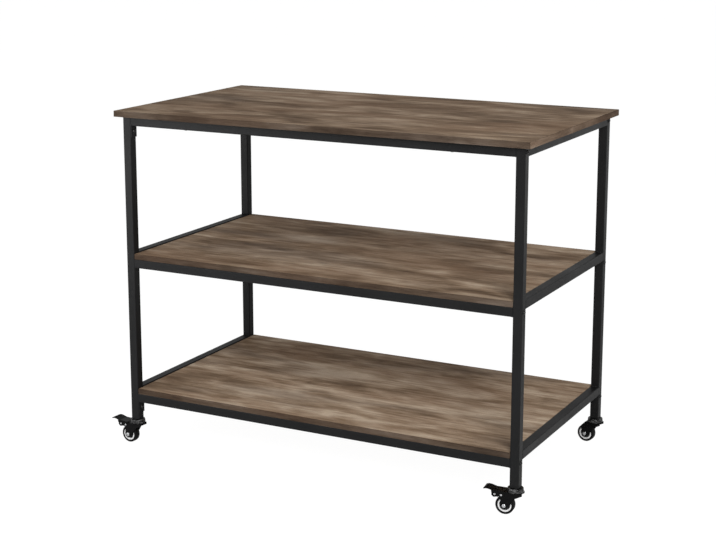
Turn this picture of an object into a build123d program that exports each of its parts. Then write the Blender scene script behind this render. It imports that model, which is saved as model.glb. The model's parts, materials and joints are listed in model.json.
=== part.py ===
"""Three-tier kitchen cart: two welded side frames of square tube, six long rails bolted
between them, a worktop and two shelf boards, and four swivel casters, the front two braked.

Millimetres. +X runs along the cart, +Y to the back, +Z up. The origin is on the floor,
midway between the four legs.
"""

import os
from math import atan2, cos, degrees, hypot, radians, sin

from build123d import *

# How near two places are taken as the same when edges are picked
pick_tolerance = 0.01

# Overall sizes
frame_length = 1144.0
frame_depth = 612.0
worktop_height = 928.0
middle_rail_height = 501.0
bottom_rail_height = 122.0

# Square tube of the legs and rails
tube = 24.0
tube_wall = 1.2
tube_corner = 2.2

# Boards: a chipboard core in a thin edge band
worktop_thickness = 16.0
shelf_thickness = 15.0
band_thickness = 1.0
band_rounding = 0.4
top_side_overhang = 18.0
top_front_overhang = 16.0
shelf_lip = 2.4
shelf_end_gap = 1.0

# End plates of the long rails; those on the left reach below the rail
plate_thickness = 2.5
plate_drop = 31.0

# Frame bolts, nuts and holes (M6)
bolt_radius = 3.0
bolt_head_radius = 5.4
bolt_head_height = 3.2
bolt_socket_flats = 4.0
bolt_socket_depth = 1.8
bolt_hole_radius = 3.3
nut_flats = 10.0
nut_height = 6.0
nut_run_out = 1.0
thread_clearance = 0.05

# Bars under the middle of each board, and the saddles that they drop into
bar = 20.0
bar_wall = 1.2
bar_corner = 1.6
bar_end_gap = 0.3
saddle_sheet = 2.0
saddle_depth = 18.0
saddle_clearance = 0.3

# Wood screws that hold the boards
screw_radius = 2.0
screw_head_radius = 4.0
screw_head_height = 2.4
screw_bite = 11.0
screw_hole_radius = 2.4
screw_spacing_x = 760.0
bar_screw_spacing_y = 320.0
screw_hole_run_out = 0.5

# Steel plug in the foot of each leg
plug_height = 15.0
plug_clearance = 0.1

# Caster wheel
wheel_radius = 24.0
tyre_width = 20.6
tyre_crown_radius = 4.0
tyre_inner_radius = 18.0
hub_rim = 4.8
hub_rim_width = 17.8
hub_web = 7.0
hub_boss_radius = 8.0
hub_running_gap = 0.4
wheel_trail = 25.0

# Which way each caster trails, in degrees from -X towards -Y
caster_headings = {"front_left": -3.0, "front_right": 6.0, "rear_left": -4.0, "rear_right": -6.0}

# Caster head, stem and fork
stem_radius = 4.0
stem_reach = 14.0
collar_flats = 14.0
collar_height = 1.1
cap_radius = 20.8
cap_height = 8.0
cap_draft = 0.8
cap_edge_radius = 1.8
cap_rim = 2.4
cap_skirt = 1.6
cap_bore_clearance = 0.05
race_gap = 3.2
race_radius = 13.0
ball_radius = 1.5
ball_count = 20
crown_radius = 20.0
crown_clearance = 9.6
crown_hole_clearance = 0.3
kingpin_head_radius = 7.0
kingpin_head_height = 1.8
fork_sheet = 2.2
fork_side_gap = 0.8
fork_end_radius = 8.5
fork_front_reach = 19.5
fork_rear_reach = 22.5
fork_chin = 4.0
fork_shoulder_behind = 10.5
fork_shoulder_rise = 22.8
fork_knee_ahead = 26.0
fork_knee_rise = 20.4
fork_ankle_ahead = 16.4
fork_ankle_rise = 4.2

# Caster axle
axle_radius = 3.0
sleeve_radius = 4.0
running_clearance = 0.05
axle_head_radius = 5.0
axle_head_height = 3.4
axle_nut_flats = 10.0
axle_nut_height = 4.4
axle_nut_run_out = 1.0

# Brake: a pedal that turns on a pivot pin and presses a shoe held by a rear pin
pivot_behind_axle = 8.0
pivot_above_wheel = 2.6
rear_pin_behind_pivot = 16.5
rear_pin_lift = 0.6
pin_radius = 2.0
pin_head_radius = 2.8
pin_head_height = 1.0
ear_step = 2.2
ear_ramp = 0.6
ear_reach = 8.0
ear_top_lift = 2.6
ear_corner = 4.5
ear_drop = 7.5
pedal_sheet = 2.0
pedal_width = 32.2
pedal_cap_gap = 3.0
pedal_body_length = 27.0
pedal_flare_length = 13.5
pedal_ridge_length = 6.5
pedal_tip_length = 6.9
pedal_start_rise = 1.2
pedal_body_rise = 1.6
pedal_crest_rise = 5.4
pedal_ridge_rise = 6.0
pedal_tip_rise = 4.4
pedal_lip_sheet = 1.5
pedal_lip_depth = 5.0
pedal_lip_taper = 2.4
cheek_eye_radius = 3.2
cheek_side_gap = 0.4
cam_behind_pivot = 7.5
cam_radius = 3.0
shoe_gap = 1.2
shoe_sheet = 1.0
shoe_width = 12.0
shoe_start_margin = 7.0
shoe_end_margin = 7.3

# Heights that follow from the sizes above
leg_foot_height = (
    2 * wheel_radius + crown_clearance + fork_sheet + race_gap + cap_height + collar_height
)
leg_top = worktop_height - worktop_thickness
rail_undersides = {
    "top": leg_top - tube,
    "middle": middle_rail_height,
    "bottom": bottom_rail_height,
}
side_rail_rise = shelf_thickness + shelf_lip
side_rail_undersides = {
    "top": leg_top - tube,
    "middle": middle_rail_height + side_rail_rise,
    "bottom": bottom_rail_height + side_rail_rise,
}
levels_with_drop_plates = ("top", "bottom")
side_with_drop_plates = -1

# Plan positions that follow
leg_x = (frame_length - tube) / 2
leg_y = (frame_depth - tube) / 2
inner_x = frame_length / 2 - tube
inner_y = frame_depth / 2 - tube
rail_half_length = inner_x - plate_thickness
corners = {
    "front_left": (-leg_x, -leg_y),
    "front_right": (leg_x, -leg_y),
    "rear_left": (-leg_x, leg_y),
    "rear_right": (leg_x, leg_y),
}
braked_corners = ("front_left", "front_right")

# Caster heights and places that follow; "along" is measured from the swivel axis to the wheel
crown_top = 2 * wheel_radius + crown_clearance + fork_sheet
crown_underside = crown_top - fork_sheet
cap_underside = crown_top + race_gap
cap_top = cap_underside + cap_height
kingpin_head_top = crown_underside - crown_hole_clearance
axle_along = wheel_trail
pivot_along = axle_along + pivot_behind_axle
pivot_height = 2 * wheel_radius + pivot_above_wheel
rear_pin_along = pivot_along + rear_pin_behind_pivot
rear_pin_height = pivot_height + rear_pin_lift
fork_inner = tyre_width / 2 + fork_side_gap
fork_outer = fork_inner + fork_sheet
cheek_outer = fork_inner - cheek_side_gap
pedal_start = cap_radius + pedal_cap_gap
pedal_bend = pedal_start + pedal_body_length
pedal_crest = pedal_bend + pedal_flare_length
pedal_ridge = pedal_crest + pedal_ridge_length
pedal_reach = pedal_ridge + pedal_tip_length
pedal_lip_end = rear_pin_along + ear_reach
pedal_bends = [
    (pedal_start, pedal_start_rise),
    (pedal_bend, pedal_body_rise),
    (pedal_crest, pedal_crest_rise),
    (pedal_ridge, pedal_ridge_rise),
    (pedal_reach, pedal_tip_rise),
]


def pedal_top(along):
    """Height of the pedal's upper face, which runs straight from bend to bend."""
    for (near, near_rise), (far, far_rise) in zip(pedal_bends, pedal_bends[1:]):
        if along <= far:
            break
    share = (along - near) / (far - near)
    return crown_top + near_rise + share * (far_rise - near_rise)


def keep(built, node):
    """Names a finished piece and writes it."""
    built.part.label = node
    export_step(built.part, f"parts/{node}.step")


def tube_section(size, wall, corner):
    """A square tube's section with rounded corners, drawn in the sketch that is open."""
    RectangleRounded(size, size, corner)
    RectangleRounded(size - 2 * wall, size - 2 * wall, max(corner - wall, 0.2), mode=Mode.SUBTRACT)


def rail_centre(level):
    """Height of the middle of the long rails on a level."""
    return rail_undersides[level] + tube / 2


def plate_screw_height(level):
    """Height of the second screw of a drop plate."""
    return rail_undersides[level] - plate_drop / 2


def screw_places(level):
    """Plan places of the wood screws of one board, each with the depth of tube that it crosses."""
    x = screw_spacing_x / 2
    y = bar_screw_spacing_y / 2
    places = [(sx * x, sy * leg_y, tube) for sx in (-1, 1) for sy in (-1, 1)]
    places += [(0, -y, bar), (0, y, bar)]
    if level == "top":
        places += [(-leg_x, 0, tube), (leg_x, 0, tube)]
    return places


def make_leg(corner):
    """One leg, with holes for its rail bolts and, beside drop plates, for their screws."""
    x, y = corners[corner]
    inward = -1 if x > 0 else 1
    drilled = inward == -side_with_drop_plates
    with BuildPart() as leg:
        with BuildSketch(Plane.XY.offset(leg_foot_height)):
            with Locations((x, y)):
                tube_section(tube, tube_wall, tube_corner)
        extrude(amount=leg_top - leg_foot_height)
        with BuildSketch(Plane.YZ.offset(x)):
            with Locations(*[(y, rail_centre(level)) for level in rail_undersides]):
                Circle(bolt_hole_radius)
        extrude(amount=tube, both=True, mode=Mode.SUBTRACT)
        if drilled:
            with BuildSketch(Plane.YZ.offset(x)):
                with Locations(*[(y, plate_screw_height(level)) for level in levels_with_drop_plates]):
                    Circle(bolt_hole_radius)
            extrude(amount=inward * tube, mode=Mode.SUBTRACT)
    keep(leg, f"leg_{corner}")


def make_side_rail(level, side, sign):
    """A rail of a side frame, welded between its two legs."""
    with BuildPart() as rail:
        with BuildSketch(Plane.XZ.offset(-inner_y)):
            with Locations((sign * leg_x, side_rail_undersides[level] + tube / 2)):
                tube_section(tube, tube_wall, tube_corner)
        extrude(amount=2 * inner_y)
        if level == "top":
            with BuildSketch(Plane.XY.offset(leg_top - tube)):
                with Locations((sign * leg_x, 0)):
                    Circle(screw_hole_radius)
            extrude(amount=tube, mode=Mode.SUBTRACT)
    keep(rail, f"side_rail_{level}_{side}")


def make_long_rail(level, side, sign):
    """A long rail between the side frames, with two screw holes for its board."""
    with BuildPart() as rail:
        with BuildSketch(Plane.YZ.offset(-rail_half_length)):
            with Locations((sign * leg_y, rail_centre(level))):
                tube_section(tube, tube_wall, tube_corner)
        extrude(amount=2 * rail_half_length)
        with BuildSketch(Plane.XY.offset(rail_undersides[level])):
            with Locations(*[(s * screw_spacing_x / 2, sign * leg_y) for s in (-1, 1)]):
                Circle(screw_hole_radius)
        extrude(amount=tube, mode=Mode.SUBTRACT)
    keep(rail, f"{side}_rail_{level}")


def make_end_plates():
    """Flat plates welded to the ends of the long rails, bolted to the legs."""
    with BuildPart() as plates:
        for level in rail_undersides:
            for side in (-1, 1):
                dropped = level in levels_with_drop_plates and side == side_with_drop_plates
                drop = plate_drop if dropped else 0
                middle = rail_centre(level) - drop / 2
                with BuildSketch(Plane.YZ.offset(side * inner_x)):
                    with Locations((-leg_y, middle), (leg_y, middle)):
                        Rectangle(tube, tube + drop)
                    with Locations((-leg_y, rail_centre(level)), (leg_y, rail_centre(level))):
                        Circle(bolt_hole_radius, mode=Mode.SUBTRACT)
                    if drop:
                        low = plate_screw_height(level)
                        with Locations((-leg_y, low), (leg_y, low)):
                            Circle(bolt_hole_radius, mode=Mode.SUBTRACT)
                extrude(amount=-side * plate_thickness)
    keep(plates, "rail_end_plates")


def make_nuts():
    """Nuts welded inside the rail ends, and nuts welded inside the legs."""
    with BuildPart() as rail_nuts:
        for level in rail_undersides:
            for side in (-1, 1):
                with BuildSketch(Plane.YZ.offset(side * rail_half_length)):
                    with Locations((-leg_y, rail_centre(level)), (leg_y, rail_centre(level))):
                        RegularPolygon(nut_flats / 2, 6, major_radius=False)
                        Circle(bolt_radius + thread_clearance, mode=Mode.SUBTRACT)
                extrude(amount=-side * nut_height)
    keep(rail_nuts, "rail_end_nuts")
    with BuildPart() as leg_nuts:
        for level in levels_with_drop_plates:
            low = plate_screw_height(level)
            with BuildSketch(Plane.YZ.offset(side_with_drop_plates * (inner_x + tube_wall))):
                with Locations((-leg_y, low), (leg_y, low)):
                    RegularPolygon(nut_flats / 2, 6, major_radius=False)
                    Circle(bolt_radius + thread_clearance, mode=Mode.SUBTRACT)
            extrude(amount=side_with_drop_plates * nut_height)
    keep(leg_nuts, "leg_plate_nuts")


def button_bolt(length):
    """A button-head bolt seated at the origin, its head towards +X and its shank towards -X."""
    edge_height = bolt_head_height * 0.4
    flat = bolt_head_radius * 0.55
    with BuildPart() as bolt:
        with BuildSketch(Plane.XZ):
            with BuildLine():
                Polyline((0, 0), (0, bolt_head_radius), (edge_height, bolt_head_radius))
                ThreePointArc(
                    (edge_height, bolt_head_radius),
                    (bolt_head_height * 0.78, bolt_head_radius * 0.84),
                    (bolt_head_height, flat),
                )
                Polyline((bolt_head_height, flat), (bolt_head_height, 0), (0, 0))
            make_face()
        revolve(axis=Axis.X)
        with BuildSketch(Plane.YZ.offset(-length)):
            Circle(bolt_radius)
        extrude(amount=length)
        with BuildSketch(Plane.YZ.offset(bolt_head_height)):
            RegularPolygon(bolt_socket_flats / 2, 6, major_radius=False)
        extrude(amount=-bolt_socket_depth, mode=Mode.SUBTRACT)
    return bolt.part


def make_bolts():
    """Bolts through the legs into the rail ends, and screws through the drop plates."""
    rail_bolt = button_bolt(tube + plate_thickness + nut_height + nut_run_out)
    plate_screw = button_bolt(plate_thickness + tube_wall + nut_height + nut_run_out)
    with BuildPart() as rail_bolts:
        for level in rail_undersides:
            for side, turn in ((-1, 180), (1, 0)):
                for y in (-leg_y, leg_y):
                    seat = (side * frame_length / 2, y, rail_centre(level))
                    with Locations(Location(seat, (0, 0, turn))):
                        add(rail_bolt)
    keep(rail_bolts, "rail_bolts")
    with BuildPart() as plate_screws:
        turn = 90 + 90 * side_with_drop_plates
        for level in levels_with_drop_plates:
            for y in (-leg_y, leg_y):
                seat = (side_with_drop_plates * rail_half_length, y, plate_screw_height(level))
                with Locations(Location(seat, (0, 0, turn))):
                    add(plate_screw)
    keep(plate_screws, "end_plate_screws")


def make_board(node, length, depth, thickness, underside, level):
    """A board's core, with blind screw holes from below, and its edge band as a separate ring."""
    with BuildPart() as core:
        with BuildSketch(Plane.XY.offset(underside)):
            Rectangle(length - 2 * band_thickness, depth - 2 * band_thickness)
        extrude(amount=thickness)
        with BuildSketch(Plane.XY.offset(underside)):
            with Locations(*[(x, y) for x, y, _ in screw_places(level)]):
                Circle(screw_radius + thread_clearance)
        extrude(amount=screw_bite + screw_hole_run_out, mode=Mode.SUBTRACT)
    keep(core, node)
    with BuildPart() as band:
        with BuildSketch(Plane.XY.offset(underside)):
            Rectangle(length, depth)
            Rectangle(length - 2 * band_thickness, depth - 2 * band_thickness, mode=Mode.SUBTRACT)
        extrude(amount=thickness)
        outside = [
            edge
            for edge in band.edges()
            if abs(abs(edge.center().X) - length / 2) < pick_tolerance
            or abs(abs(edge.center().Y) - depth / 2) < pick_tolerance
        ]
        fillet(outside, band_rounding)
    keep(band, f"{node}_edge_band")


def make_centre_bar(level):
    """A tube under the middle of a board, from the front rail to the rear rail."""
    top = rail_undersides[level] + tube
    half = inner_y - bar_end_gap
    with BuildPart() as support:
        with BuildSketch(Plane.XZ.offset(-half)):
            with Locations((0, top - bar / 2)):
                tube_section(bar, bar_wall, bar_corner)
        extrude(amount=2 * half)
        with BuildSketch(Plane.XY.offset(top - bar)):
            with Locations((0, -bar_screw_spacing_y / 2), (0, bar_screw_spacing_y / 2)):
                Circle(screw_hole_radius)
        extrude(amount=bar, mode=Mode.SUBTRACT)
    keep(support, f"centre_bar_{level}")


def make_saddles():
    """U-shaped saddles welded to the long rails, which hold the ends of the centre bars."""
    inner = bar + 2 * saddle_clearance
    outer = inner + 2 * saddle_sheet
    with BuildPart() as saddles:
        for level, underside in rail_undersides.items():
            top = underside + tube
            base = top - bar - saddle_sheet
            for side in (-1, 1):
                with BuildSketch(Plane.XZ.offset(-side * inner_y)):
                    with Locations((0, (top + base) / 2)):
                        Rectangle(outer, top - base)
                    with Locations((0, top - bar / 2)):
                        Rectangle(inner, bar, mode=Mode.SUBTRACT)
                extrude(amount=side * saddle_depth)
    keep(saddles, "centre_bar_saddles")


def board_screw(depth):
    """A pan-head wood screw seated at the origin under a tube, standing up through it into a board."""
    with BuildPart() as screw:
        with BuildSketch():
            Circle(screw_head_radius)
        extrude(amount=-screw_head_height)
        fillet(screw.faces().sort_by(Axis.Z)[0].edges(), screw_head_height * 0.6)
        with BuildSketch():
            Circle(screw_radius)
        extrude(amount=depth + screw_bite)
    return screw.part


def make_board_screws():
    """Wood screws from under the rails and bars into the boards."""
    shapes = {depth: board_screw(depth) for depth in (tube, bar)}
    with BuildPart() as screws:
        for level, underside in rail_undersides.items():
            for x, y, depth in screw_places(level):
                with Locations((x, y, underside + tube - depth)):
                    add(shapes[depth])
    keep(screws, "board_screws")


def make_foot_plugs():
    """Steel plugs in the feet of the legs, threaded for the caster stems."""
    size = tube - 2 * tube_wall - 2 * plug_clearance
    with BuildPart() as plugs:
        with BuildSketch(Plane.XY.offset(leg_foot_height)):
            with Locations(*corners.values()):
                RectangleRounded(size, size, max(tube_corner - tube_wall, 0.2) + plug_clearance)
                Circle(stem_radius + thread_clearance, mode=Mode.SUBTRACT)
        extrude(amount=plug_height)
    keep(plugs, "leg_foot_plugs")


def level_plane(corner, z):
    """A level plane of a caster: its X direction points forward, away from the trailing wheel."""
    x, y = corners[corner]
    turn = radians(caster_headings[corner])
    return Plane(origin=(x, y, z), x_dir=(cos(turn), sin(turn), 0), z_dir=(0, 0, 1))


def side_plane(corner, across):
    """An upright plane of a caster, drawn forward and up, facing the side of its axle head."""
    x, y = corners[corner]
    turn = radians(caster_headings[corner])
    return Plane(
        origin=(x - across * sin(turn), y + across * cos(turn), 0),
        x_dir=(cos(turn), sin(turn), 0),
        z_dir=(sin(turn), -cos(turn), 0),
    )


def across_of(corner, point):
    """How far a point lies from the middle plane of a caster, towards the axle nut."""
    return -side_plane(corner, 0).to_local_coords(point).Z


def make_caster_stems():
    """Stems with a hex collar under the leg and a riveted head under the fork's crown."""
    with BuildPart() as stems:
        with BuildSketch(Plane.XY.offset(kingpin_head_top)):
            with Locations(*corners.values()):
                Circle(stem_radius)
        extrude(amount=leg_foot_height + stem_reach - kingpin_head_top)
        with BuildSketch(Plane.XY.offset(cap_top)):
            with Locations(*corners.values()):
                RegularPolygon(collar_flats / 2, 6, major_radius=False)
        extrude(amount=collar_height)
        with BuildSketch(Plane.XY.offset(kingpin_head_top)):
            with Locations(*corners.values()):
                Circle(kingpin_head_radius)
        extrude(amount=-kingpin_head_height)
    keep(stems, "caster_stems")


def make_swivel_caps():
    """Drum-shaped caps over the ball races, fixed on the stems."""
    bore = stem_radius + cap_bore_clearance
    wall = cap_radius - cap_draft
    edge_centre = (wall - cap_edge_radius, cap_top - cap_edge_radius)
    with BuildPart() as cap:
        with BuildSketch(Plane.XZ):
            with BuildLine():
                Polyline((bore, cap_underside), (bore, cap_top), (edge_centre[0], cap_top))
                CenterArc(edge_centre, cap_edge_radius, 90, -90)
                Polyline(
                    (wall, edge_centre[1]),
                    (cap_radius, cap_underside),
                    (cap_radius, cap_underside - cap_skirt),
                    (cap_radius - cap_rim * 0.5, cap_underside - cap_skirt),
                    (cap_radius - cap_rim, cap_underside),
                    (bore, cap_underside),
                )
            make_face()
        revolve(axis=Axis.Z)
    with BuildPart() as caps:
        with Locations(*[(x, y, 0) for x, y in corners.values()]):
            add(cap.part)
    keep(caps, "caster_swivel_caps")


def make_bearing_balls():
    """The ball rings between the caps and the fork crowns."""
    with BuildPart() as balls:
        for x, y in corners.values():
            with Locations((x, y, crown_top + race_gap / 2)):
                with PolarLocations(race_radius, ball_count):
                    Sphere(ball_radius)
    keep(balls, "caster_bearing_balls")


def make_fork(corner):
    """A caster fork: a round crown and two cheeks bent down from it to the axle."""
    braked = corner in braked_corners
    shoulder = (-axle_along - fork_shoulder_behind, wheel_radius + fork_shoulder_rise)
    with BuildPart() as fork:
        with BuildSketch(level_plane(corner, crown_underside)):
            Circle(crown_radius)
            with Locations((-fork_rear_reach / 2, 0)):
                Rectangle(fork_rear_reach, 2 * fork_outer)
        extrude(amount=fork_sheet)
        for side in (-1, 1):
            with BuildSketch(side_plane(corner, side * fork_inner)):
                with BuildLine():
                    Polyline(
                        (fork_front_reach, crown_top),
                        (-fork_rear_reach, crown_top),
                        shoulder,
                        (-axle_along - fork_end_radius, wheel_radius),
                        (-axle_along + fork_end_radius * 0.6, wheel_radius - fork_end_radius * 0.8),
                        (-axle_along + fork_ankle_ahead, wheel_radius + fork_ankle_rise),
                        (-axle_along + fork_knee_ahead, wheel_radius + fork_knee_rise),
                        (fork_front_reach, crown_underside - fork_chin),
                        (fork_front_reach, crown_top),
                    )
                make_face()
                with Locations((-axle_along, wheel_radius)):
                    Circle(fork_end_radius)
                if braked:
                    with BuildLine():
                        Polyline(
                            (-fork_rear_reach, crown_top),
                            (-fork_rear_reach - ear_ramp, crown_top - ear_step),
                            (-pivot_along, crown_top - ear_step),
                            (-rear_pin_along - ear_reach, rear_pin_height + ear_top_lift),
                            (-rear_pin_along - ear_reach, rear_pin_height - ear_drop + ear_corner),
                            (-rear_pin_along - ear_reach + ear_corner, rear_pin_height - ear_drop),
                            (-rear_pin_along, rear_pin_height - ear_drop),
                            shoulder,
                            (-axle_along, wheel_radius + fork_end_radius),
                            (-fork_rear_reach, crown_top),
                        )
                    make_face()
            extrude(amount=-side * fork_sheet)
        with BuildSketch(level_plane(corner, crown_underside)):
            Circle(stem_radius + crown_hole_clearance)
        extrude(amount=fork_sheet, mode=Mode.SUBTRACT)
        with BuildSketch(side_plane(corner, 0)):
            with Locations((-axle_along, wheel_radius)):
                Circle(axle_radius + running_clearance)
            if braked:
                with Locations((-pivot_along, pivot_height), (-rear_pin_along, rear_pin_height)):
                    Circle(pin_radius + running_clearance)
        extrude(amount=2 * fork_outer, both=True, mode=Mode.SUBTRACT)
    keep(fork, f"caster_{corner}_fork")


def make_axle(corner):
    """The axle bolt with its nut, and the sleeve that the wheel turns on."""
    centre = (-axle_along, wheel_radius)
    with BuildPart() as axle:
        with BuildSketch(side_plane(corner, -fork_outer)):
            with Locations(centre):
                Circle(axle_head_radius)
        extrude(amount=axle_head_height)
        outer_rim = axle.faces().sort_by(lambda face: across_of(corner, face.center()))[0].edges()
        fillet(outer_rim, axle_head_height * 0.55)
        with BuildSketch(side_plane(corner, -fork_outer)):
            with Locations(centre):
                Circle(axle_radius)
        extrude(amount=-(2 * fork_outer + axle_nut_height + axle_nut_run_out))
        with BuildSketch(side_plane(corner, fork_outer)):
            with Locations(centre):
                RegularPolygon(axle_nut_flats / 2, 6, major_radius=False)
                Circle(axle_radius + thread_clearance, mode=Mode.SUBTRACT)
        extrude(amount=-axle_nut_height)
        with BuildSketch(side_plane(corner, -fork_inner)):
            with Locations(centre):
                Circle(sleeve_radius)
                Circle(axle_radius + thread_clearance, mode=Mode.SUBTRACT)
        extrude(amount=-2 * fork_inner)
    keep(axle, f"caster_{corner}_axle")


def make_wheel(corner):
    """A caster wheel: a tyre with a rounded tread on a webbed hub."""
    middle = side_plane(corner, 0)
    centre = middle.from_local_coords((-axle_along, wheel_radius, 0))
    spin = Axis(centre, middle.z_dir)
    section = Plane(origin=centre, x_dir=middle.z_dir, z_dir=-middle.x_dir)
    with BuildPart() as tyre:
        with BuildSketch(section):
            with Locations((0, (wheel_radius + tyre_inner_radius) / 2)):
                tread = Rectangle(tyre_width, wheel_radius - tyre_inner_radius)
            fillet(tread.vertices().sort_by(Axis.Y)[-2:], tyre_crown_radius)
        revolve(axis=spin)
    keep(tyre, f"caster_{corner}_tyre")
    bore = sleeve_radius + running_clearance
    rim_inner = tyre_inner_radius - hub_rim
    boss_length = 2 * (fork_inner - hub_running_gap)
    with BuildPart() as hub:
        with BuildSketch(section):
            with Locations((0, tyre_inner_radius - hub_rim / 2)):
                Rectangle(hub_rim_width, hub_rim)
            with Locations((0, (rim_inner + hub_boss_radius) / 2)):
                Rectangle(hub_web, rim_inner - hub_boss_radius)
            with Locations((0, (hub_boss_radius + bore) / 2)):
                Rectangle(boss_length, hub_boss_radius - bore)
        revolve(axis=spin)
    keep(hub, f"caster_{corner}_hub")


def make_pedal(corner):
    """The brake pedal: a flanged plate with a raised tip, two cheeks on the pivot and a cam."""
    pivot = (-pivot_along, pivot_height)
    cam = (-pivot_along - cam_behind_pivot, pivot_height)
    cheek_end = pivot_along + cam_behind_pivot + cheek_eye_radius
    upper = [(-along, crown_top + rise) for along, rise in pedal_bends]
    lower = [(along, height - pedal_sheet) for along, height in reversed(upper)]
    lip_base = pedal_top(pedal_start) - pedal_sheet - pedal_lip_depth
    with BuildPart() as pedal:
        with BuildSketch(side_plane(corner, 0)):
            with BuildLine():
                Polyline(*upper, *lower, upper[0])
            make_face()
        extrude(amount=pedal_width / 2, both=True)
        for side in (-1, 1):
            with BuildSketch(side_plane(corner, side * pedal_width / 2)):
                with BuildLine():
                    Polyline(
                        (-pedal_start, pedal_top(pedal_start) - pedal_sheet / 2),
                        (-pedal_bend, pedal_top(pedal_bend) - pedal_sheet / 2),
                        (-pedal_lip_end, pedal_top(pedal_lip_end) - pedal_sheet / 2),
                        (-pedal_lip_end, lip_base + pedal_lip_taper),
                        (-pedal_lip_end + pedal_lip_taper, lip_base),
                        (-pedal_start - pedal_lip_taper, lip_base),
                        (-pedal_start, pedal_top(pedal_start) - pedal_sheet),
                        (-pedal_start, pedal_top(pedal_start) - pedal_sheet / 2),
                    )
                make_face()
            extrude(amount=side * pedal_lip_sheet)
            with BuildSketch(side_plane(corner, side * cheek_outer)):
                with BuildLine():
                    Polyline(
                        (-pivot_along + cheek_eye_radius, pivot_height),
                        (-pivot_along + cheek_eye_radius, pedal_top(pivot_along) - pedal_sheet / 2),
                        (-cheek_end, pedal_top(cheek_end) - pedal_sheet / 2),
                        (-cheek_end, pivot_height),
                        (-pivot_along + cheek_eye_radius, pivot_height),
                    )
                make_face()
                with Locations(pivot, cam):
                    Circle(cheek_eye_radius)
            extrude(amount=side * pedal_sheet)
        with BuildSketch(side_plane(corner, 0)):
            with Locations(cam):
                Circle(cam_radius)
        extrude(amount=cheek_outer - pedal_sheet / 2, both=True)
        with BuildSketch(side_plane(corner, 0)):
            with Locations(pivot):
                Circle(pin_radius + running_clearance)
        extrude(amount=fork_outer, both=True, mode=Mode.SUBTRACT)
    keep(pedal, f"brake_{corner}_pedal")


def make_brake_pins(corner):
    """The pivot pin and the rear pin, headed on both sides of the fork."""
    with BuildPart() as pins:
        with BuildSketch(side_plane(corner, 0)):
            with Locations((-pivot_along, pivot_height), (-rear_pin_along, rear_pin_height)):
                Circle(pin_radius)
        extrude(amount=fork_outer, both=True)
        for side in (-1, 1):
            with BuildSketch(side_plane(corner, side * fork_outer)):
                with Locations((-pivot_along, pivot_height), (-rear_pin_along, rear_pin_height)):
                    Circle(pin_head_radius)
            extrude(amount=-side * pin_head_height)
        head_rims = [
            edge
            for edge in pins.edges().filter_by(GeomType.CIRCLE)
            if abs(across_of(corner, edge.arc_center)) > fork_outer + pin_head_height / 2
        ]
        fillet(head_rims, pin_head_height * 0.8)
    keep(pins, f"brake_{corner}_pins")


def make_shoe(corner):
    """A spring strip that hangs on the rear pin and lies just over the tread."""
    inner = wheel_radius + shoe_gap
    outer = inner + shoe_sheet
    eye = pin_radius + running_clearance + shoe_sheet
    pin_reach = hypot(rear_pin_along - axle_along, rear_pin_height - wheel_radius)
    pin_angle = degrees(atan2(rear_pin_height - wheel_radius, axle_along - rear_pin_along))
    pivot_angle = degrees(atan2(pivot_height - wheel_radius, axle_along - pivot_along))
    start_angle = pivot_angle + shoe_start_margin
    end_angle = pin_angle + shoe_end_margin
    middle = (start_angle + end_angle) / 2
    strip_turn = degrees(shoe_sheet / outer)
    eye_turn = degrees(eye / pin_reach)

    def on_arc(radius, angle):
        return (
            -axle_along + radius * cos(radians(angle)),
            wheel_radius + radius * sin(radians(angle)),
        )

    with BuildPart() as shoe:
        with BuildSketch(side_plane(corner, 0)):
            with BuildLine():
                ThreePointArc(
                    on_arc(inner, start_angle), on_arc(inner, middle), on_arc(inner, end_angle)
                )
                Polyline(
                    on_arc(inner, end_angle),
                    on_arc(pin_reach, pin_angle + eye_turn * 0.9),
                    on_arc(pin_reach, pin_angle + eye_turn * 0.6),
                    on_arc(outer, end_angle - strip_turn),
                )
                ThreePointArc(
                    on_arc(outer, end_angle - strip_turn),
                    on_arc(outer, middle),
                    on_arc(outer, start_angle),
                )
                Line(on_arc(outer, start_angle), on_arc(inner, start_angle))
            make_face()
            with Locations((-rear_pin_along, rear_pin_height)):
                Circle(eye)
                Circle(pin_radius + running_clearance, mode=Mode.SUBTRACT)
        extrude(amount=shoe_width / 2, both=True)
    keep(shoe, f"brake_{corner}_shoe")


os.makedirs("parts", exist_ok=True)

for corner_name in corners:
    make_leg(corner_name)
for level_name in rail_undersides:
    make_side_rail(level_name, "left", -1)
    make_side_rail(level_name, "right", 1)
    make_long_rail(level_name, "front", -1)
    make_long_rail(level_name, "rear", 1)
    make_centre_bar(level_name)
make_end_plates()
make_nuts()
make_bolts()
make_saddles()
make_board(
    "top_board",
    frame_length + 2 * top_side_overhang,
    frame_depth + 2 * top_front_overhang,
    worktop_thickness,
    leg_top,
    "top",
)
for level_name in ("middle", "bottom"):
    make_board(
        f"{level_name}_board",
        2 * (inner_x - shelf_end_gap),
        frame_depth,
        shelf_thickness,
        rail_undersides[level_name] + tube,
        level_name,
    )
make_board_screws()
make_foot_plugs()
make_caster_stems()
make_swivel_caps()
make_bearing_balls()
for corner_name in corners:
    make_fork(corner_name)
    make_axle(corner_name)
    make_wheel(corner_name)
for corner_name in braked_corners:
    make_pedal(corner_name)
    make_brake_pins(corner_name)
    make_shoe(corner_name)
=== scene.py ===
"""Finish, small details, light and camera for the three-tier kitchen cart."""

import json
from math import cos, pi, radians, sin

import bmesh
import bpy
from mathutils import Matrix, Vector


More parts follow.
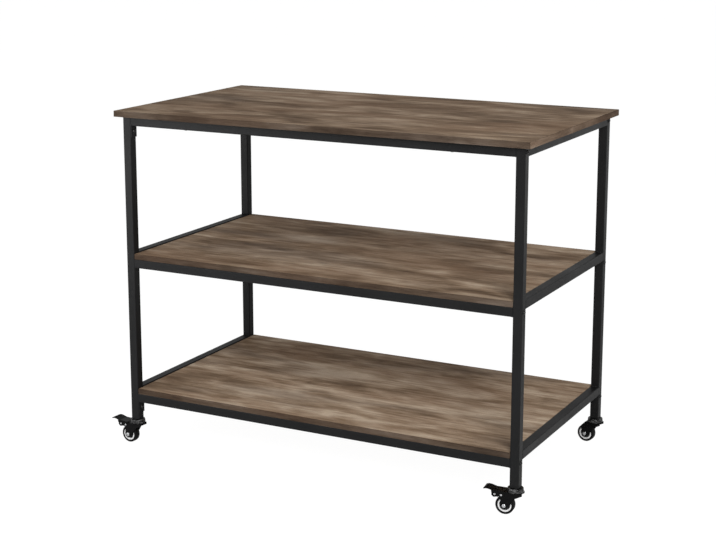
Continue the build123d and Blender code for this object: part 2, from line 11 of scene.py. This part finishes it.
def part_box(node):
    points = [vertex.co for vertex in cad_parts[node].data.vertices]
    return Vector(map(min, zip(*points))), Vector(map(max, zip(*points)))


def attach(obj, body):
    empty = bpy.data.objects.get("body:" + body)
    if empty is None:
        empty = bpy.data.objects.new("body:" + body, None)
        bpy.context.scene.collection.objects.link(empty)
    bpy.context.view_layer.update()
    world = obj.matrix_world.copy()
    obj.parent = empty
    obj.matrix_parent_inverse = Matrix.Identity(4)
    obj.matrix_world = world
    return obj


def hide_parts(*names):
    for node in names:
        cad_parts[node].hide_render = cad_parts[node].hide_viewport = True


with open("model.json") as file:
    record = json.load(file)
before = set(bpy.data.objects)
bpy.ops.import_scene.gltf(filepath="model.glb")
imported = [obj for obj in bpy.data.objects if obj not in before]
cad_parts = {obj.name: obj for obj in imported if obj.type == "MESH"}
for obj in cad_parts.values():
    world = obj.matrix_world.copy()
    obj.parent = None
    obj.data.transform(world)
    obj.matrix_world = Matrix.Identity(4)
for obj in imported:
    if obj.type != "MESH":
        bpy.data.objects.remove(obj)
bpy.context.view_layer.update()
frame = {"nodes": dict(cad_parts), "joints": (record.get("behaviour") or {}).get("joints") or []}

# The photograph's width in pixels, and the camera that was fitted to it
image_width = 716
focal_pixels = 1572.9
sensor_width = 36.0
camera_place = (1.8962, -3.6930, 1.4896)
camera_turn = radians(27.510)
camera_tilt = radians(11.440)
camera_shift = -0.08
camera_reach = 100.0

corners = ("front_left", "front_right", "rear_left", "rear_right")
braked_corners = ("front_left", "front_right")
levels = ("top", "middle", "bottom")
joints = {joint["name"]: joint for joint in frame["joints"]}
nodes = frame["nodes"]


# Node graphs

class Tree:
    """A short way to write a node tree."""

    def __init__(self, tree):
        self.tree = tree

    def add(self, kind, settings=None, **inputs):
        """Adds a node; settings are its own properties, inputs are numbers or sockets."""
        node = self.tree.nodes.new(kind)
        for key, value in (settings or {}).items():
            setattr(node, key, value)
        for key, value in inputs.items():
            self.put(node, key.replace("_", " "), value)
        return node

    def put(self, node, key, value):
        """Sets an input by its name, or by its place in the list when the key is i and a number."""
        by_place = key[0] == "i" and key[1:].isdigit()
        socket = node.inputs[int(key[1:])] if by_place else node.inputs[key]
        if isinstance(value, bpy.types.NodeSocket):
            self.tree.links.new(value, socket)
        else:
            socket.default_value = value

    def math(self, operation, first, second=0.0, third=0.0):
        """One step of arithmetic on numbers or sockets."""
        node = self.add("ShaderNodeMath", {"operation": operation}, i0=first, i1=second, i2=third)
        return node.outputs[0]

    def vector(self, operation, first, second):
        """One step of arithmetic on vectors."""
        node = self.add("ShaderNodeVectorMath", {"operation": operation}, i0=first, i1=second)
        return node.outputs["Value" if operation == "DOT_PRODUCT" else "Vector"]

    def span(self, value, low, high, new_low=0.0, new_high=1.0):
        """Maps the range from low to high onto the new one, and stops at its ends."""
        node = self.add(
            "ShaderNodeMapRange", Value=value, From_Min=low, From_Max=high,
            To_Min=new_low, To_Max=new_high,
        )
        return node.outputs[0]


class Graph(Tree):
    """A new material and its node tree."""

    def __init__(self, name):
        self.material = bpy.data.materials.new(name)
        self.material.use_nodes = True
        super().__init__(self.material.node_tree)
        self.shader = self.tree.nodes["Principled BSDF"]
        self.output = self.tree.nodes["Material Output"]

    def place(self):
        """Where a point lies on its piece, in metres."""
        return self.add("ShaderNodeTexCoord").outputs["Object"]

    def noise(self, vector, stretch=None, detail=3.0, roughness=0.5, distortion=0.0, scale=1.0):
        """Noise whose scale along each direction, in cycles per metre, is in stretch."""
        if stretch:
            vector = self.vector("MULTIPLY", vector, stretch)
        node = self.add(
            "ShaderNodeTexNoise", Vector=vector, Scale=scale, Detail=detail,
            Roughness=roughness, Distortion=distortion,
        )
        return node.outputs["Fac"]

    def ramp(self, factor, stops):
        """A colour ramp; stops are (place, colour) pairs."""
        node = self.add("ShaderNodeValToRGB", Fac=factor)
        elements = node.color_ramp.elements
        while len(elements) < len(stops):
            elements.new(0.5)
        for element, (place, colour) in zip(elements, stops):
            element.position = place
            element.color = (*colour, 1)
        return node.outputs["Color"]

    def mix(self, factor, first, second, blend="MIX"):
        """Blends two colours, each a socket or three numbers."""
        node = self.add("ShaderNodeMix", {"data_type": "RGBA", "blend_type": blend})
        self.put(node, "i0", factor)
        self.put(node, "i6", (*first, 1) if isinstance(first, tuple) else first)
        self.put(node, "i7", (*second, 1) if isinstance(second, tuple) else second)
        return node.outputs[2]

    def shade(self, colour, strength):
        """The colour with its brightness multiplied by a number that varies."""
        grey = self.add("ShaderNodeCombineColor", Red=strength, Green=strength, Blue=strength)
        return self.mix(1.0, colour, grey.outputs[0], "MULTIPLY")

    def bump(self, height, distance, strength, normal=None):
        """A surface direction that follows small differences in height."""
        node = self.add("ShaderNodeBump", Height=height, Distance=distance, Strength=strength)
        if normal is not None:
            self.put(node, "Normal", normal)
        return node.outputs["Normal"]

    def finish(self, **inputs):
        """Sets the shader's inputs and hands over the material."""
        for key, value in inputs.items():
            self.put(self.shader, key.replace("_", " "), value)
        return self.material


def tinted(colour, factor, lift=0.0):
    """A colour made darker or lighter."""
    return tuple(factor * part + lift for part in colour)


# Woodgrain: how fine each layer is along the grain and across it, in cycles per metre
patch_scale = (3.0, 9.0, 9.0)
smear_scale = (9.0, 26.0, 26.0)
streak_scale = (7.0, 95.0, 95.0)
fibre_scale = (30.0, 640.0, 640.0)
hue_scale = (1.9, 6.0, 6.0)
knot_scale = (2.3, 6.5, 6.5)
vein_scale = (4.5, 55.0, 55.0)
pore_scale = (44.0, 1300.0, 1300.0)

# How far the pattern of knots is moved, in its own cells
knot_offset = (0.37, 0.12, 0.0)

# How much of the tone comes from each layer
patch_share = 0.45
smear_share = 0.29
streak_share = 0.26

# The tones from dark to light, then the colours laid over them and how strongly
wood_tones = [
    (0.40, (0.068, 0.040, 0.023)),
    (0.46, (0.130, 0.083, 0.049)),
    (0.51, (0.203, 0.134, 0.081)),
    (0.56, (0.300, 0.211, 0.136)),
    (0.62, (0.450, 0.342, 0.238)),
]
rust_colour = (0.205, 0.118, 0.066)
rust_share = 0.35
smoke_colour = (0.120, 0.094, 0.074)
smoke_share = 0.30
knot_colour = (0.045, 0.027, 0.017)
knot_share = 0.6
crack_colour = (0.040, 0.024, 0.016)
crack_share = 0.5
crack_half_width = 0.009
pore_colour = (0.060, 0.040, 0.027)
pore_share = 0.4
darkest_fibre = 0.80
lightest_fibre = 1.18
dark_wood_roughness = 0.52
light_wood_roughness = 0.44
wood_gloss = 0.012
wood_relief = 0.00006

# A face that points along X by more than this closes the end of a board
end_facing = 0.7

# Where each board was cut from the printed pattern, and how much lighter it is made; the lower
# boards are made lighter, the bottom one most, as painted light that makes up for the shade of the
# boards above them
board_prints_and_painted_light = {
    "top": ((0.0, 0.0, 0.0), 0.006),
    "middle": ((-3.13, 2.21, 0.0), 0.022),
    "bottom": ((4.81, 1.42, 0.0), 0.046),
}
board_contrast = 0.72
board_tint = (1.11, 1.16, 1.25)
band_lightness = -0.01
band_contrast = 0.6
# The edge bands' front and back faces are darkened as painted shade, and their ends lightened as
# painted light, as if lit from the side
band_painted_shade = (0.37, 0.40, 0.48)
band_end_painted_light = (0.84, 0.90, 1.05)


def woodgrain(name, shift, lightness, contrast, tint, end_tint_and_painted_light):
    """Rustic oak laminate: mottled patches and streaks along the grain, knots, cracks and pores.

    The grain runs along X, and along Y on the faces that close the ends of a board, which take
    their own tint. On the edge bands these tints are painted light and shade: the front and back
    faces are darkened and the ends lightened, as if the light fell from the side.
    """
    graph = Graph(name)
    place = graph.place()
    facing = graph.add("ShaderNodeNewGeometry").outputs["Normal"]
    facing_x = graph.add("ShaderNodeSeparateXYZ", Vector=facing).outputs["X"]
    on_end = graph.math("GREATER_THAN", graph.math("ABSOLUTE", facing_x), end_facing)
    apart = graph.add("ShaderNodeSeparateXYZ", Vector=place).outputs
    turned = graph.add("ShaderNodeCombineXYZ", X=apart["Y"], Y=apart["X"], Z=apart["Z"])
    place = graph.mix(on_end, place, turned.outputs[0])
    place = graph.vector("ADD", place, shift)

    patches = graph.noise(place, patch_scale, detail=2.0, roughness=0.5, distortion=0.7)
    smears = graph.noise(place, smear_scale, detail=3.0, roughness=0.5, distortion=0.6)
    streaks = graph.noise(place, streak_scale, detail=3.0, roughness=0.55, distortion=0.2)
    fibres = graph.noise(place, fibre_scale, detail=3.0, roughness=0.65)

    tone = graph.math("MULTIPLY", patches, patch_share)
    tone = graph.math("MULTIPLY_ADD", smears, smear_share, tone)
    tone = graph.math("MULTIPLY_ADD", streaks, streak_share, tone)
    tone = graph.math("MULTIPLY_ADD", graph.math("SUBTRACT", tone, 0.5), contrast, 0.5)
    tone = graph.math("ADD", tone, lightness)
    colour = graph.ramp(tone, wood_tones)

    hue = graph.noise(place, hue_scale, detail=2.0, distortion=0.4)
    rusty = graph.mix(rust_share, colour, rust_colour)
    smoky = graph.mix(smoke_share, colour, smoke_colour)
    colour = graph.mix(graph.span(hue, 0.50, 0.66), colour, rusty)
    colour = graph.mix(graph.span(hue, 0.47, 0.34), colour, smoky)
    colour = graph.shade(colour, graph.span(fibres, 0.3, 0.7, darkest_fibre, lightest_fibre))

    knot_place = graph.vector("ADD", graph.vector("MULTIPLY", place, knot_scale), knot_offset)
    cells = graph.add(
        "ShaderNodeTexVoronoi", {"feature": "F1"}, Scale=1.0, Randomness=1.0, Vector=knot_place,
    )
    knot = graph.span(cells.outputs["Distance"], 0.03, 0.17, 1.0, 0.0)
    knot = graph.math("MULTIPLY", knot, graph.span(smears, 0.46, 0.58, 0.0, knot_share))
    colour = graph.mix(knot, colour, knot_colour)

    veins = graph.noise(place, vein_scale, detail=3.0, roughness=0.6, distortion=0.5)
    off_vein = graph.math("ABSOLUTE", graph.math("SUBTRACT", veins, 0.5))
    crack = graph.span(off_vein, 0.0, crack_half_width, 1.0, 0.0)
    crack = graph.math("MULTIPLY", crack, graph.span(patches, 0.52, 0.42, 0.0, crack_share))
    colour = graph.mix(crack, colour, crack_colour)

    pores = graph.noise(place, pore_scale, detail=1.0)
    pore = graph.span(pores, 0.60, 0.72, 0.0, pore_share)
    colour = graph.mix(pore, colour, pore_colour)

    # On the edge bands this multiplies in painted light and shade: darker front and back faces,
    # lighter ends
    colour = graph.mix(1.0, colour, graph.mix(on_end, tint, end_tint_and_painted_light), "MULTIPLY")

    hollows = graph.math("ADD", pore, crack)
    height = graph.math("SUBTRACT", graph.math("MULTIPLY", fibres, 0.5), hollows)
    roughness = graph.span(tone, 0.4, 0.62, dark_wood_roughness, light_wood_roughness)
    return graph.finish(
        Base_Color=colour, Roughness=roughness, Specular_IOR_Level=wood_gloss,
        Normal=graph.bump(height, wood_relief, 0.35),
    )


# Paint, metal, rubber and plastic

rubbed_edge_radius = 0.0009


def painted_steel(name, colour, roughness, peel, specular):
    """Black paint on steel: fine orange peel, faint clouds, and edges rubbed a little lighter."""
    graph = Graph(name)
    place = graph.place()
    clouds = graph.noise(place, scale=9.0, detail=3.0)
    skin = graph.noise(place, scale=900.0, detail=2.0, roughness=0.6)
    soft = graph.add("ShaderNodeBevel", {"samples": 4}, Radius=rubbed_edge_radius)
    facing = graph.add("ShaderNodeNewGeometry").outputs["Normal"]
    turn = graph.vector("DOT_PRODUCT", soft.outputs[0], facing)
    edge = graph.span(turn, 0.90, 0.999, 1.0, 0.0)
    rubbed = graph.math("MULTIPLY", edge, graph.span(clouds, 0.35, 0.7, 0.1, 0.5))
    body = graph.mix(graph.span(clouds, 0.3, 0.7), tinted(colour, 0.86), tinted(colour, 1.16))
    body = graph.mix(rubbed, body, tinted(colour, 2.0, 0.005))
    rough = graph.span(clouds, 0.3, 0.7, roughness - 0.05, roughness + 0.05)
    return graph.finish(
        Base_Color=body, Roughness=rough, Specular_IOR_Level=specular,
        Normal=graph.bump(skin, peel, 0.6, soft.outputs[0]),
    )


def zinc(name, colour, roughness):
    """Zinc plate: faint spangle, fine scratches and a soft sheen."""
    graph = Graph(name)
    place = graph.place()
    spangle = graph.add("ShaderNodeTexVoronoi", {"feature": "F1"}, Vector=place, Scale=700.0)
    scratch = graph.noise(place, (300.0, 300.0, 2600.0), detail=2.0)
    tint = graph.span(spangle.outputs["Color"], 0.0, 1.0)
    body = graph.mix(tint, tinted(colour, 0.82), colour)
    rough = graph.span(scratch, 0.3, 0.7, roughness - 0.07, roughness + 0.09)
    return graph.finish(
        Base_Color=body, Metallic=1.0, Roughness=rough,
        Normal=graph.bump(scratch, 0.00003, 0.4),
    )


def moulded(name, colour, roughness, grain_scale, grain_depth, specular):
    """Moulded plastic or rubber: a fine matt grain and slight clouds in its tone."""
    graph = Graph(name)
    place = graph.place()
    clouds = graph.noise(place, scale=120.0, detail=3.0)
    grain = graph.noise(place, scale=grain_scale, detail=2.0)
    body = graph.mix(graph.span(clouds, 0.3, 0.7), tinted(colour, 0.85), colour)
    rough = graph.span(clouds, 0.3, 0.7, roughness - 0.04, roughness + 0.05)
    return graph.finish(
        Base_Color=body, Roughness=rough, Specular_IOR_Level=specular,
        Normal=graph.bump(grain, grain_depth, 0.5),
    )


def worn_cap(name):
    """Glossy black plate scuffed down to dull steel in fine, soft patches that paint in the swivel
    head's highlights.
    """
    graph = Graph(name)
    place = graph.place()
    # Soft grey patches of dull steel, laid out as scuffs, that are painted highlights standing in
    # for reflections on the glossy swivel head
    rubbed = graph.noise(
        place, (120.0, 120.0, 300.0), detail=4.0, roughness=0.65, distortion=0.2,
    )
    scuff_highlight = graph.span(rubbed, 0.49, 0.66)
    fine = graph.noise(place, (500.0, 500.0, 2200.0), detail=2.0)
    steel = graph.mix(fine, (0.05, 0.05, 0.05), (0.26, 0.26, 0.26))
    colour = graph.mix(scuff_highlight, (0.003, 0.003, 0.003), steel)
    return graph.finish(
        Base_Color=colour, Metallic=graph.math("MULTIPLY", scuff_highlight, 0.6),
        Roughness=graph.span(scuff_highlight, 0.0, 1.0, 0.16, 0.42), Specular_IOR_Level=0.3,
        Normal=graph.bump(rubbed, 0.00008, 0.4),
    )


frame_paint = painted_steel("frame_paint", (0.0066, 0.0067, 0.0070), 0.42, 0.00005, 0.14)
caster_paint = painted_steel("caster_paint", (0.0022, 0.0022, 0.0023), 0.26, 0.00002, 0.09)
black_bolt = painted_steel("black_bolt", (0.009, 0.009, 0.009), 0.32, 0.00002, 0.4)
cap_plate = worn_cap("cap_plate")
dull_zinc = zinc("dull_zinc", (0.42, 0.43, 0.44), 0.42)
bright_zinc = zinc("bright_zinc", (0.60, 0.61, 0.62), 0.34)
rubber = moulded("rubber", (0.0032, 0.0032, 0.0032), 0.5, 1500.0, 0.00004, 0.1)
grey_plastic = moulded("grey_plastic", (0.80, 0.80, 0.80), 0.38, 1800.0, 0.00002, 0.4)
black_plastic = moulded("black_plastic", (0.008, 0.008, 0.008), 0.40, 1800.0, 0.00002, 0.3)


# Mesh helpers

sharp_angle = radians(35)


def mesh_object(name, bm, material):
    """Turns a bmesh into an object with one material, smooth except at sharp edges."""
    bmesh.ops.recalc_face_normals(bm, faces=bm.faces)
    for face in bm.faces:
        face.smooth = True
    for edge in bm.edges:
        if len(edge.link_faces) == 2 and edge.calc_face_angle() > sharp_angle:
            edge.smooth = False
    mesh = bpy.data.meshes.new(name)
    bm.to_mesh(mesh)
    bm.free()
    piece = bpy.data.objects.new(name, mesh)
    bpy.context.scene.collection.objects.link(piece)
    mesh.materials.append(material)
    return piece


def join_loops(bm, here, there):
    """Adds the faces between two closed loops of corner points."""
    count = len(here)
    for k in range(count):
        follow = (k + 1) % count
        bm.faces.new((here[k], here[follow], there[follow], there[k]))


def lathe(bm, profile, centre, axis, segments):
    """Adds a closed ring of the profile's (radius, distance along the axis) points to a bmesh."""
    side = axis.orthogonal().normalized()
    other = axis.cross(side)
    rings = []
    for step in range(segments):
        angle = 2 * pi * step / segments
        outward = side * cos(angle) + other * sin(angle)
        rings.append([bm.verts.new(centre + outward * r + axis * d) for r, d in profile])
    for step in range(segments):
        join_loops(bm, rings[step], rings[(step + 1) % segments])


def arc(centre, radius, start, end, steps):
    """Points of an arc in a profile; angles in degrees."""
    points = []
    for step in range(steps + 1):
        angle = radians(start + (end - start) * step / steps)
        points.append((centre[0] + radius * cos(angle), centre[1] + radius * sin(angle)))
    return points


def bar_between(bm, outline, start, end, up):
    """Adds a bar with a flat outline of (sideways, upwards) points, swept from start to end."""
    along = (end - start).normalized()
    sideways = along.cross(up).normalized()
    upward = sideways.cross(along)
    loops = []
    for place in (start, end):
        loops.append([bm.verts.new(place + sideways * s + upward * u) for s, u in outline])
    join_loops(bm, loops[0], loops[1])
    bm.faces.new(reversed(loops[0]))
    bm.faces.new(loops[1])


def mirrored(profile):
    """A profile's one half and its mirror image; a point on the wheel's middle plane comes once."""
    return profile + [(r, -d) for r, d in reversed(profile) if d != 0.0]


# Finish of the CAD nodes

def dress(node, material):
    """Gives a CAD node its one material."""
    data = nodes[node].data
    data.materials.clear()
    data.materials.append(material)


for level in levels:
    shift, lightness = board_prints_and_painted_light[level]
    board = woodgrain(
        f"woodgrain_{level}", shift, lightness, board_contrast, board_tint, board_tint,
    )
    dress(f"{level}_board", board)
    band = woodgrain(
        f"woodgrain_edge_{level}", shift, band_lightness, band_contrast, band_painted_shade, band_end_painted_light,
    )
    dress(f"{level}_board_edge_band", band)
    for rail in ("side_rail_{}_left", "side_rail_{}_right", "front_rail_{}", "rear_rail_{}",
                 "centre_bar_{}"):
        dress(rail.format(level), frame_paint)
for corner in corners:
    dress(f"leg_{corner}", frame_paint)
    dress(f"caster_{corner}_fork", caster_paint)
    dress(f"caster_{corner}_axle", bright_zinc)
    dress(f"caster_{corner}_tyre", rubber)
    dress(f"caster_{corner}_hub", grey_plastic)
for corner in braked_corners:
    dress(f"brake_{corner}_pedal", caster_paint)
    dress(f"brake_{corner}_pins", bright_zinc)
    dress(f"brake_{corner}_shoe", dull_zinc)
for node in ("rail_end_plates", "centre_bar_saddles"):
    dress(node, frame_paint)
for node in ("rail_bolts", "end_plate_screws"):
    dress(node, black_bolt)
for node in ("rail_end_nuts", "leg_plate_nuts", "leg_foot_plugs", "board_screws", "caster_stems"):
    dress(node, dull_zinc)
dress("caster_swivel_caps", cap_plate)
dress("caster_bearing_balls", bright_zinc)


# Wheels, in metres: radii, half widths from the middle plane, and small steps from these

tyre_radius = 0.0240
tread_radius = 0.02385
tread_half_width = 0.0072
shoulder_radius = 0.0026
shoulder_inset = 0.0008
shoulder_start = -78.0
shoulder_end = -6.0
shoulder_steps = 6
groove_depth = 0.0006
groove_outer_edge = 0.0042
groove_outer_floor = 0.0038
groove_inner_floor = 0.0034
groove_inner_edge = 0.0030
mould_line_half_width = 0.0004
tyre_seat = 0.0180
tyre_half_width = 0.0103
bead_edge = 0.0004
bead_flat_start = 0.0011
bead_flat_end = 0.0020
bead_end = 0.0023
bead_height = 0.0005
hub_inner = 0.0136
hub_half_width = 0.0089
rim_draft = 0.0002
rim_inner_drop = 0.0012
rim_flat_start = 0.0010
rim_flat_end = 0.0028
rim_outer_edge = 0.0008
rim_outer_drop = 0.0005
rim_seat_drop = 0.0011
dish_half_width = 0.0030
boss_radius = 0.0080
boss_round = 0.0008
boss_foot = 0.0006
boss_foot_reach = 0.0014
boss_half_width = 0.0106
sleeve_radius = 0.0041
rib_count = 6
rib_half_width = 0.0007
rib_taper = 0.6
rib_height = 0.0028
rib_into_boss = 0.0004
rib_into_rim = 0.0002
rim_segments = 96
centre_segments = 64


def make_tyre(corner, centre, axle):
    """A tyre with a rounded tread, two shallow grooves, a mould line and a bead on each side."""
    shoulder_centre = (tread_radius - shoulder_radius, -tread_half_width + shoulder_inset)
    half = [
        (tyre_seat, -hub_half_width),
        (tyre_seat + bead_edge, -tyre_half_width + bead_edge),
        (tyre_seat + bead_flat_start, -tyre_half_width),
        (tyre_seat + bead_flat_end, -tyre_half_width),
        (tyre_seat + bead_end, -tyre_half_width + bead_height),
        *arc(shoulder_centre, shoulder_radius, shoulder_start, shoulder_end, shoulder_steps),
        (tread_radius, -groove_outer_edge),
        (tread_radius - groove_depth, -groove_outer_floor),
        (tread_radius - groove_depth, -groove_inner_floor),
        (tread_radius, -groove_inner_edge),
        (tread_radius, -mould_line_half_width),
        (tyre_radius, 0.0),
    ]
    bm = bmesh.new()
    lathe(bm, mirrored(half), centre, axle, rim_segments)
    tyre = mesh_object(f"tyre_{corner}", bm, rubber)
    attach(tyre, f"{corner}_wheel")
    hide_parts(f"caster_{corner}_tyre")


def make_rim(corner, centre, axle):
    """The pale ring of a hub, which carries the tyre."""
    rim = [
        (hub_inner, -dish_half_width),
        (hub_inner + rim_draft, -hub_half_width + rim_inner_drop),
        (hub_inner + rim_flat_start, -hub_half_width),
        (hub_inner + rim_flat_end, -hub_half_width),
        (tyre_seat - rim_outer_edge, -hub_half_width + rim_outer_drop),
        (tyre_seat, -hub_half_width + rim_seat_drop),
    ]
    bm = bmesh.new()
    lathe(bm, mirrored(rim), centre, axle, rim_segments)
    ring = mesh_object(f"hub_ring_{corner}", bm, grey_plastic)
    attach(ring, f"{corner}_wheel")
    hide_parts(f"caster_{corner}_hub")


def make_centre(corner, centre, axle):
    """The black ribbed centre of a hub, which turns on the axle's sleeve."""
    dish = [
        (sleeve_radius, -boss_half_width),
        (boss_radius - boss_round, -boss_half_width),
        (boss_radius, -boss_half_width + boss_round),
        (boss_radius + boss_foot, -dish_half_width - boss_foot),
        (boss_radius + boss_foot_reach, -dish_half_width),
        (hub_inner, -dish_half_width),
    ]
    bm = bmesh.new()
    lathe(bm, mirrored(dish), centre, axle, centre_segments)
    outline = [
        (-rib_half_width, 0), (-rib_half_width * rib_taper, rib_height),
        (rib_half_width * rib_taper, rib_height), (rib_half_width, 0),
    ]
    side = axle.orthogonal().normalized()
    for face in (-1, 1):
        base = centre + axle * face * dish_half_width
        for step in range(rib_count):
            outward = Matrix.Rotation(2 * pi * step / rib_count, 3, axle) @ side
            start = base + outward * (boss_radius - rib_into_boss)
            end = base + outward * (hub_inner + rib_into_rim)
            bar_between(bm, outline, start, end, axle * face)
    spider = mesh_object(f"hub_centre_{corner}", bm, black_plastic)
    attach(spider, f"{corner}_wheel")


for corner in corners:
    roll = joints[f"{corner}_wheel_roll"]
    wheel_centre = Vector(roll["pos_m"])
    wheel_axle = Vector(roll["axis"]).normalized()
    make_tyre(corner, wheel_centre, wheel_axle)
    make_rim(corner, wheel_centre, wheel_axle)
    make_centre(corner, wheel_centre, wheel_axle)


# Weld beads

weld_radius = 0.0016
weld_ripple = 0.00035
weld_pitch = 0.0022
weld_inset = 0.0045
weld_end_share = 0.55
weld_sides = 8
rings_per_ripple = 3
fewest_steps = 6


def weld_bead(bm, start, end, normal):
    """A rippled bead along a line, lying in the corner that faces the normal."""
    length = (end - start).length
    along = (end - start).normalized()
    sideways = along.cross(normal).normalized()
    rings = []
    steps = max(int(length / (weld_pitch / rings_per_ripple)), fewest_steps)
    for step in range(steps + 1):
        place = start + along * (length * step / steps)
        swell = weld_radius + weld_ripple * sin(2 * pi * length * step / steps / weld_pitch)
        if step in (0, steps):
            swell *= weld_end_share
        ring = []
        for k in range(weld_sides):
            angle = 2 * pi * k / weld_sides
            outward = normal * cos(angle) + sideways * sin(angle)
            ring.append(bm.verts.new(place + outward * swell))
        rings.append(ring)
    for here, there in zip(rings, rings[1:]):
        join_loops(bm, here, there)
    bm.faces.new(reversed(rings[0]))
    bm.faces.new(rings[-1])


def make_welds():
    """Beads where the side rails meet the legs, above and below each rail end.

    The top rails lie against the worktop, so they have none above.
    """
    bm = bmesh.new()
    for level in levels:
        for side in ("left", "right"):
            low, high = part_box(f"side_rail_{level}_{side}")
            for y, outward in ((low[1], 1.0), (high[1], -1.0)):
                for z, up in ((low[2], -1.0), (high[2], 1.0)):
                    if level == "top" and up > 0:
                        continue
                    start = Vector((low[0] + weld_inset, y, z))
                    end = Vector((high[0] - weld_inset, y, z))
                    weld_bead(bm, start, end, Vector((0, outward, up)).normalized())
    welds = mesh_object("weld_beads", bm, frame_paint)
    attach(welds, "frame")


# Grip ribs of the brake pedals

grip_ribs = 4
grip_pitch = 0.0034
grip_half_length = 0.0115
grip_foot_half_width = 0.0008
grip_top_half_width = 0.0005
grip_height = 0.0006
grip_sink = 0.0004
grip_from_tip = 0.0042


def surface_height(points, origin, trail, along):
    """Height of a pedal's upper face at a distance along it, between its nearest corner points."""
    tops = {}
    for point in points:
        place = round((point - origin).dot(trail), 4)
        tops[place] = max(tops.get(place, -1.0), point.z)
    places = sorted(tops)
    for low, high in zip(places, places[1:]):
        if low <= along <= high:
            share = (along - low) / (high - low)
            return tops[low] + share * (tops[high] - tops[low])
    return tops[places[-1]]


def make_grip(corner):
    """Pressed ribs across the raised tip of a brake pedal."""
    press = joints[f"{corner}_brake_pedal_press"]
    pivot = Vector(press["pos_m"])
    across = Vector(press["axis"]).normalized()
    upright = Vector((0, 0, 1))
    trail = across.cross(upright)
    points = [vertex.co for vertex in nodes[f"brake_{corner}_pedal"].data.vertices]
    reach = max((point - pivot).dot(trail) for point in points)
    half = across * grip_half_length
    outline = [
        (-grip_foot_half_width, -grip_sink), (-grip_top_half_width, grip_height),
        (grip_top_half_width, grip_height), (grip_foot_half_width, -grip_sink),
    ]
    bm = bmesh.new()
    for step in range(grip_ribs):
        along = reach - grip_from_tip - step * grip_pitch
        middle = pivot + trail * along
        middle.z = surface_height(points, pivot, trail, along)
        bar_between(bm, outline, middle - half, middle + half, upright)
    grip = mesh_object(f"pedal_grip_{corner}", bm, caster_paint)
    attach(grip, f"{corner}_brake_pedal")


make_welds()
for corner in braked_corners:
    make_grip(corner)


# Studio: floor, world, lamps and camera

floor_half_size = 40.0
floor_grey = 0.86
floor_glow = 1.1
floor_glow_share = 0.88
sky_light = 0.34
sky_in_reflections = 0.15
white = (1, 1, 1, 1)

# Name, place, point aimed at, width in metres and power in watts
lamps = (
    ("key", (2.4, -2.8, 2.5), (0, 0, 0.5), 1.8, 138.0),
    ("fill", (-1.3, -3.2, 2.0), (0, 0, 0.4), 1.5, 34.0),
    ("side", (1.0, 1.0, 0.65), (0.57, 0.1, 0.5), 0.7, 0.55),
    ("left", (-1.5, -1.6, 0.7), (-0.55, 0, 0.5), 0.9, 10.0),
)


def make_floor():
    """A pale floor that the camera sees as nearly white, with the cart's shadow on it."""
    bm = bmesh.new()
    bmesh.ops.create_grid(bm, x_segments=1, y_segments=1, size=floor_half_size)
    graph = Graph("floor")
    graph.finish(
        Base_Color=(floor_grey, floor_grey, floor_grey, 1), Roughness=0.9, Specular_IOR_Level=0.0,
    )
    glow = graph.add("ShaderNodeEmission", Color=white, Strength=floor_glow)
    seen = graph.add("ShaderNodeLightPath").outputs["Is Camera Ray"]
    blend = graph.add("ShaderNodeMixShader")
    graph.put(blend, "i0", graph.math("MULTIPLY", seen, floor_glow_share))
    graph.put(blend, "i1", graph.shader.outputs[0])
    graph.put(blend, "i2", glow.outputs[0])
    graph.put(graph.output, "Surface", blend.outputs[0])
    floor = mesh_object("floor", bm, graph.material)


def make_world():
    """A sky that is white to the camera, and dim as a light and in reflections."""
    world = bpy.data.worlds.new("studio")
    bpy.context.scene.world = world
    world.use_nodes = True
    graph = Tree(world.node_tree)
    rays = graph.add("ShaderNodeLightPath").outputs
    seen = graph.math("MAXIMUM", rays["Is Camera Ray"], rays["Is Transmission Ray"])
    reflected = graph.math("MULTIPLY", rays["Is Glossy Ray"], sky_in_reflections)
    shown = graph.math("MAXIMUM", seen, reflected)
    background = world.node_tree.nodes["Background"]
    graph.put(background, "Strength", graph.span(shown, 0.0, 1.0, sky_light, 1.0))
    graph.put(background, "Color", white)


def make_lamp(name, place, target, size, watts):
    """A round soft lamp that the camera doesn't see."""
    light = bpy.data.lights.new(name, "AREA")
    light.shape = "DISK"
    light.size = size
    light.energy = watts
    lamp = bpy.data.objects.new(name, light)
    lamp.location = place
    lamp.rotation_euler = (Vector(target) - Vector(place)).to_track_quat("-Z", "Y").to_euler()
    lamp.visible_camera = False
    bpy.context.scene.collection.objects.link(lamp)


def make_camera():
    """The camera at the photograph's viewing angle."""
    data = bpy.data.cameras.new("camera")
    data.sensor_width = sensor_width
    data.lens = focal_pixels * sensor_width / image_width
    data.shift_y = camera_shift
    data.clip_end = camera_reach
    camera = bpy.data.objects.new("camera", data)
    camera.location = camera_place
    camera.rotation_euler = (pi / 2 - camera_tilt, 0, camera_turn)
    bpy.context.scene.collection.objects.link(camera)
    bpy.context.scene.camera = camera


make_floor()
make_world()
for lamp_values in lamps:
    make_lamp(*lamp_values)
make_camera()
bpy.context.scene.view_settings.view_transform = "Standard"
